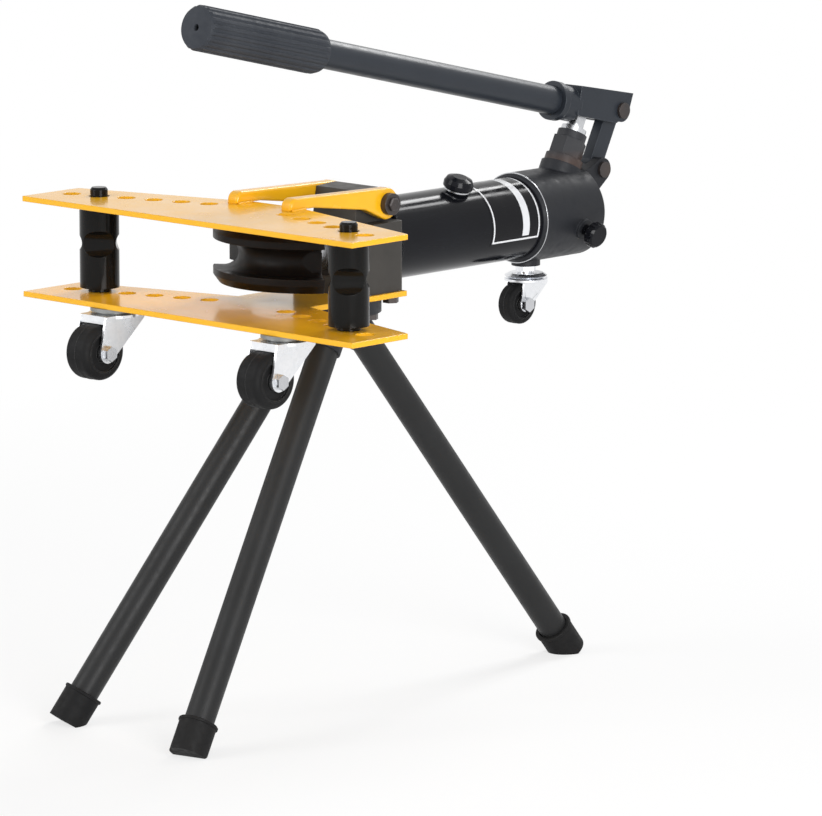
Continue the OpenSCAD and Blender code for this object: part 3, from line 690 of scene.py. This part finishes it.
def arc(centre, radius, start_deg, end_deg, steps):
    """Points of an arc in the side view, as (y, z) in millimetres."""
    turns = [math.radians(start_deg + (end_deg - start_deg) * i / steps) for i in range(steps + 1)]
    return [(centre[0] + radius * math.cos(a), centre[1] + radius * math.sin(a)) for a in turns]


def inset(outline, by_mm):
    """The outline moved into the material, which lies to the right of its path."""
    moved = []
    for i, point in enumerate(outline):
        here = Vector(point)
        came = (here - Vector(outline[i - 1])).normalized()
        goes = (Vector(outline[(i + 1) % len(outline)]) - here).normalized()
        first = Vector((came.y, -came.x))
        inward = (first + Vector((goes.y, -goes.x))).normalized()
        moved.append(here + inward * by_mm / inward.dot(first))
    return moved


def rounded_bar(outlines, width_mm, round_mm):
    """A bar across x from pairs of a closed outline and the rounding of its edges."""
    made = bmesh.new()
    turns = [math.radians(90 * i / ROUND_STEPS) for i in range(ROUND_STEPS + 1)]
    half = [(width_mm / 2 - round_mm * (1 - math.sin(t)), 1 - math.cos(t)) for t in turns]
    layers = [(-x, share) for x, share in reversed(half)] + half
    rims = {0: [], -1: []}
    for outline, edge_mm in outlines:
        rings = []
        for x, share in layers:
            points = inset(outline, edge_mm * share)
            rings.append([made.verts.new(Vector((x, p.x, p.y)) * MM) for p in points])
        for low, high in zip(rings, rings[1:]):
            for i in range(len(low)):
                made.faces.new((low[i - 1], low[i], high[i], high[i - 1]))
        for end in rims:
            ring = rings[end]
            rims[end] += [made.edges.get((ring[i - 1], ring[i])) for i in range(len(ring))]
    for rim in rims.values():
        bmesh.ops.triangle_fill(made, edges=rim, use_beauty=True)
    return made


arm_points = [v.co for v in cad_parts["hinge_arm_right"].data.vertices]
seat_height = spot(0, 0, UPPER_TOP).z
on_seat = [p for p in arm_points if abs(p.z - seat_height) < SEAT_LEVEL_MM * MM]
seat_lengths = [(p.y - wing_front) / MM for p in on_seat]
seat_end = max(y for y in seat_lengths if y < BELLY[0])
nose_middle = (ARM_FRONT + NOSE_R, UPPER_TOP + ARM_NOSE - NOSE_R)
arm_outline = [(ARM_FRONT, UPPER_TOP)]
arm_outline += arc(nose_middle, NOSE_R, *NOSE_ARC)
arm_outline += arc(HINGE, EYE_R, *EYE_ARC)
arm_outline += [BELLY, (seat_end, UPPER_TOP)]
pin_hole = arc(HINGE, PIN_HOLE_R, *PIN_HOLE_ARC)
arm_width = ARM_FACES["outer"] - ARM_FACES["inner"]
arm_middle = (ARM_FACES["outer"] + ARM_FACES["inner"]) / 2
for side_name, side in (("left", -1), ("right", 1)):
    bar = rounded_bar(((arm_outline, ARM_ROUND), (pin_hole, HOLE_ROUND)), arm_width, ARM_ROUND)
    bar.transform(Matrix.Translation(spot(side * arm_middle, 0, 0)))
    arm = add_piece(f"rounded_arm_{side_name}", bar, yellow, "upper_wing")
    arm.modifiers.new("even_normals", "WEIGHTED_NORMAL").keep_sharp = True
    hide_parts(f"hinge_arm_{side_name}")
print("arms sit on the plate as far as", round(seat_end), "mm from the front")

# %% [markdown]
# A hex-headed screw closes the collar end of the hinge pin. Six flat sides and a
# chamfered face are made by sweeping a short profile in only six steps. Under the
# filler cap lies a bright sealing washer, square to the cap's tilted axis.

# %% Hinge screw and filler washer
SCREW_X = 46.3
SCREW_R = 6.6
SCREW_H = 3.2
SCREW_CHAMFER = (1.2, 0.8)
SCREW_CORE = 0.4
hex_profile = [
    (SCREW_CORE, 0), (SCREW_R, 0), (SCREW_R, SCREW_H - SCREW_CHAMFER[1]),
    (SCREW_R - SCREW_CHAMFER[0], SCREW_H), (SCREW_CORE, SCREW_H),
]
hex_head = lathe(hex_profile, 6)
hex_head.transform(place_along(spot(SCREW_X, *HINGE), (1, 0, 0)))
hinge_screw = add_piece("hinge_screw", hex_head, dark_steel, "frame")
for face in hinge_screw.data.polygons:
    face.use_smooth = False

FILLER_TILT = math.radians(18)
FILLER_Y = 342.0
WASHER_UP = 39.0
WASHER_SIZES = (9.6, 12.5, 0, 2.2, 0.5)
filler_up = Vector((math.sin(FILLER_TILT), 0, math.cos(FILLER_TILT)))
washer_at = spot(0, FILLER_Y, AXIS_Z) + filler_up * WASHER_UP * MM
add_ring("filler_washer", washer_at, filler_up, WASHER_SIZES, steel, "frame")
print("washer sits", round(washer_at.z / MM), "mm above the floor")

# %% [markdown]
# The wheels are moulded. A fine line stays round the tread where the mould's two
# halves met, and a low bead runs round the recess on each side. Both are thin
# rings, sized from the wheel they ride on.

# %% Wheel lines and beads
LINE_DEEP = 0.6
LINE_HALF = 0.4
LINE_SOFT = 0.12
BEAD_FROM = 0.685
BEAD_TO = 0.755
BEAD_DEEP = 0.6
BEAD_UP = 0.25
BEAD_SOFT = 0.2
WHEELS = {
    "left_wheel": ("caster_wheel_left", 0.25),
    "right_wheel": ("caster_wheel_right", 0.25),
    "tail_wheel": ("tail_caster_wheel", 0.15),
}
for body, (node, stand) in WHEELS.items():
    low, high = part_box(node)
    middle = (low + high) / 2
    wheel_r = (high.z - low.z) / 2 / MM
    line_sizes = (wheel_r - LINE_DEEP, wheel_r + stand, -LINE_HALF, LINE_HALF, LINE_SOFT)
    add_ring(body + "_mould_line", middle, (1, 0, 0), line_sizes, wheel_rubber, body)
    bead_sizes = (wheel_r * BEAD_FROM, wheel_r * BEAD_TO, -BEAD_DEEP, BEAD_UP, BEAD_SOFT)
    for side_name, side in (("left", -1), ("right", 1)):
        bead_at = middle + Vector((side * (high.x - low.x) / 2, 0, 0))
        bead_name = f"{body}_bead_{side_name}"
        add_ring(bead_name, bead_at, (side, 0, 0), bead_sizes, wheel_rubber, body)
print("lines and beads added to", len(WHEELS), "wheels")

# %% [markdown]
# Two more rings finish the ends of the machine. A thin ring of bright steel round
# the front rim of the tail block makes a bright line there. The rubber feet roll
# over into a thick lip at the top. A lip stands square to its leg, and the leg's
# direction is read from its own mesh, so the lips follow if the legs spread.

# %% Tail rim and foot lips
TAIL_R = 42.5
RIM_BACK = 2.2
RIM_SIZES = (TAIL_R - 0.8, TAIL_R + 0.12, 0, 1.0, 0.1)
tail_low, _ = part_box("tail_block")
rim_at = Vector((0, tail_low.y + RIM_BACK * MM, plate_top + AXIS_Z * MM))
add_ring("tail_bright_rim", rim_at, (0, 1, 0), RIM_SIZES, steel, "frame")

LIP_UP = 16.5
LIP_SIZES = (13.7, 18.1, 0, 3.2, 0.8)
FEET = {"front_left": "leg_front_left", "front_right": "leg_front_right", "rear": "leg_rear"}


def leg_line(node):
    """The lower end and the direction of a leg, from the middles of its end rings."""
    points = [v.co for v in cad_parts[node].data.vertices]
    bottom = min(p.z for p in points)
    top = max(p.z for p in points)
    middle = (bottom + top) / 2
    low_part = [p for p in points if p.z < middle]
    high_part = [p for p in points if p.z > middle]
    low_mid = sum(low_part, Vector()) / len(low_part)
    high_mid = sum(high_part, Vector()) / len(high_part)
    return low_mid, (high_mid - low_mid).normalized()


for place, node in FEET.items():
    start, along = leg_line(node)
    lip_at = start + along * LIP_UP * MM
    add_ring(f"foot_lip_{place}", lip_at, along, LIP_SIZES, foot_rubber, "frame")
print("rim and", len(FEET), "lips added")

# %% [markdown]
# The return spring sits in the hollow ram, hooked to the tail at its rear and to
# the ram at its front, so it has to stretch when the ram slides. A copy of its
# coil, with its placement baked into its mesh, takes the solid's place. A rigid
# coil would poke through the ram's end.

# %% Return spring
spring_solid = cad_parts["return_spring"]
coil = bpy.data.objects.new("spring_coil", spring_solid.data.copy())
coil.matrix_world = spring_solid.matrix_world
bpy.context.scene.collection.objects.link(coil)
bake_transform(coil)
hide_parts("return_spring")

# %% [markdown]
# A pale studio: a broad floor, a white surround and three large soft lamps. The
# surround shows as plain white to the camera and in reflections, while it lights
# the object at a lower level, so dark paint stays dark. The floor mixes a share
# of plain white into a matt surface, so the object's shadow stays, and the share
# grows with distance until floor and surround are the same white.

# %% Floor
FLOOR_R = 30.0
FLOOR_COLOUR = (0.86, 0.86, 0.86, 1)
FADE_FROM = 0.4
FADE_TO = 1.6
WHITE_SHARE_NEAR = 0.7
floor_mesh = bmesh.new()
bmesh.ops.create_circle(floor_mesh, cap_ends=True, radius=FLOOR_R, segments=ROUND_SIDES)
floor_data = bpy.data.meshes.new("studio_floor")
floor_mesh.to_mesh(floor_data)
floor_mesh.free()
floor = bpy.data.objects.new("studio_floor", floor_data)
bpy.context.scene.collection.objects.link(floor)


def seen_directly(nodes, links):
    """1 for rays from the camera, from a mirror or through glass, otherwise 0."""
    path = nodes.new("ShaderNodeLightPath")
    total = path.outputs["Is Camera Ray"]
    for kind in ("Is Glossy Ray", "Is Transmission Ray"):
        highest = nodes.new("ShaderNodeMath")
        highest.operation = "MAXIMUM"
        links.new(total, highest.inputs[0])
        links.new(path.outputs[kind], highest.inputs[1])
        total = highest.outputs["Value"]
    return total


floor_material = bpy.data.materials.new("pale_studio_floor")
floor_material.use_nodes = True
floor_nodes = floor_material.node_tree.nodes
floor_links = floor_material.node_tree.links
matt = floor_nodes["Principled BSDF"]
matt.inputs["Base Color"].default_value = FLOOR_COLOUR
matt.inputs["Roughness"].default_value = 0.9
matt.inputs["Specular IOR Level"].default_value = 0.0
plain_white = floor_nodes.new("ShaderNodeEmission")
blend = floor_nodes.new("ShaderNodeMixShader")
share = floor_nodes.new("ShaderNodeMath")
share.operation = "MULTIPLY"
floor_links.new(seen_directly(floor_nodes, floor_links), share.inputs[0])
floor_place = floor_nodes.new("ShaderNodeTexCoord")
outwards = floor_nodes.new("ShaderNodeVectorMath")
outwards.operation = "LENGTH"
floor_links.new(floor_place.outputs["Object"], outwards.inputs[0])
fade = floor_nodes.new("ShaderNodeMapRange")
fade.inputs["From Min"].default_value = FADE_FROM
fade.inputs["From Max"].default_value = FADE_TO
fade.inputs["To Min"].default_value = WHITE_SHARE_NEAR
fade.inputs["To Max"].default_value = 1.0
floor_links.new(outwards.outputs["Value"], fade.inputs["Value"])
floor_links.new(fade.outputs["Result"], share.inputs[1])
floor_links.new(share.outputs["Value"], blend.inputs["Fac"])
floor_links.new(matt.outputs["BSDF"], blend.inputs[1])
floor_links.new(plain_white.outputs["Emission"], blend.inputs[2])
floor_links.new(blend.outputs["Shader"], floor_nodes["Material Output"].inputs["Surface"])
floor_data.materials.append(floor_material)
print("floor is", 2 * FLOOR_R, "m across")

# %% [markdown]
# The surround is the world's background. Its strength is the plain white where it
# is seen directly or in a mirror, and a lower level where it only lights.

# %% Surround
SURROUND_LIGHT = 0.38
world = bpy.data.worlds.new("studio_surround")
bpy.context.scene.world = world
world.use_nodes = True
world_nodes = world.node_tree.nodes
world_links = world.node_tree.links
surround = world_nodes["Background"]
surround.inputs["Color"].default_value = (1, 1, 1, 1)
level = world_nodes.new("ShaderNodeMapRange")
level.inputs["To Min"].default_value = SURROUND_LIGHT
level.inputs["To Max"].default_value = 1.0
world_links.new(seen_directly(world_nodes, world_links), level.inputs["Value"])
world_links.new(level.outputs["Result"], surround.inputs["Strength"])
print("surround lights at", SURROUND_LIGHT)

# %% [markdown]
# The lamps are large, so their shadows are soft: two stand low at the front left
# and at the right, and light the sides that the camera sees, and one hangs
# behind and above, which draws a bright line along the tube and the handle.

# %% Lamps
LAMPS = {
    "main_lamp": ((-1.2, -2.6, 1.5), 1.5, 36.0),
    "side_lamp": ((2.5, -1.2, 1.0), 1.4, 66.0),
    "rear_lamp": ((-0.4, 1.9, 2.1), 1.0, 40.0),
}
object_middle = Vector((0, 0, (cad_box[0][2] + cad_box[1][2]) / 2))
for name, (place, size, watts) in LAMPS.items():
    lamp_data = bpy.data.lights.new(name, "AREA")
    lamp_data.size = size
    lamp_data.energy = watts
    lamp = bpy.data.objects.new(name, lamp_data)
    lamp.location = place
    lamp.rotation_euler = (object_middle - lamp.location).to_track_quat("-Z", "Y").to_euler()
    bpy.context.scene.collection.objects.link(lamp)
print("hung", len(LAMPS), "lamps")

# %% [markdown]
# The photograph was taken from low at the front right, from far away, so the
# lines hardly draw together. The angles and the distance come from matching
# points of the object with the picture. A long lens from that distance keeps
# the same flat perspective.

# %% Camera
IMAGE_W = 822
SENSOR_MM = 36.0
VIEW_TURN = math.radians(43.2)
VIEW_RISE = math.radians(10.27)
DISTANCE = 5.448
FOCAL_PIXELS = 5900
SIDEWAYS = 0.0273
UPWARDS = 0.2574
right = Vector((math.cos(VIEW_TURN), math.sin(VIEW_TURN), 0))
backwards = Vector((
    math.sin(VIEW_TURN) * math.cos(VIEW_RISE),
    -math.cos(VIEW_TURN) * math.cos(VIEW_RISE),
    math.sin(VIEW_RISE),
))
upwards = backwards.cross(right)
camera_data = bpy.data.cameras.new("photo_camera")
camera_data.sensor_width = SENSOR_MM
camera_data.lens = FOCAL_PIXELS / IMAGE_W * SENSOR_MM
camera = bpy.data.objects.new("photo_camera", camera_data)
turned = Matrix((right, upwards, backwards)).transposed().to_4x4()
turned.translation = backwards * DISTANCE + right * SIDEWAYS + upwards * UPWARDS
camera.matrix_world = turned
bpy.context.scene.collection.objects.link(camera)
bpy.context.scene.camera = camera
bpy.context.scene.view_settings.view_transform = "Standard"
print("lens is", round(camera_data.lens), "mm")

# %% [markdown]
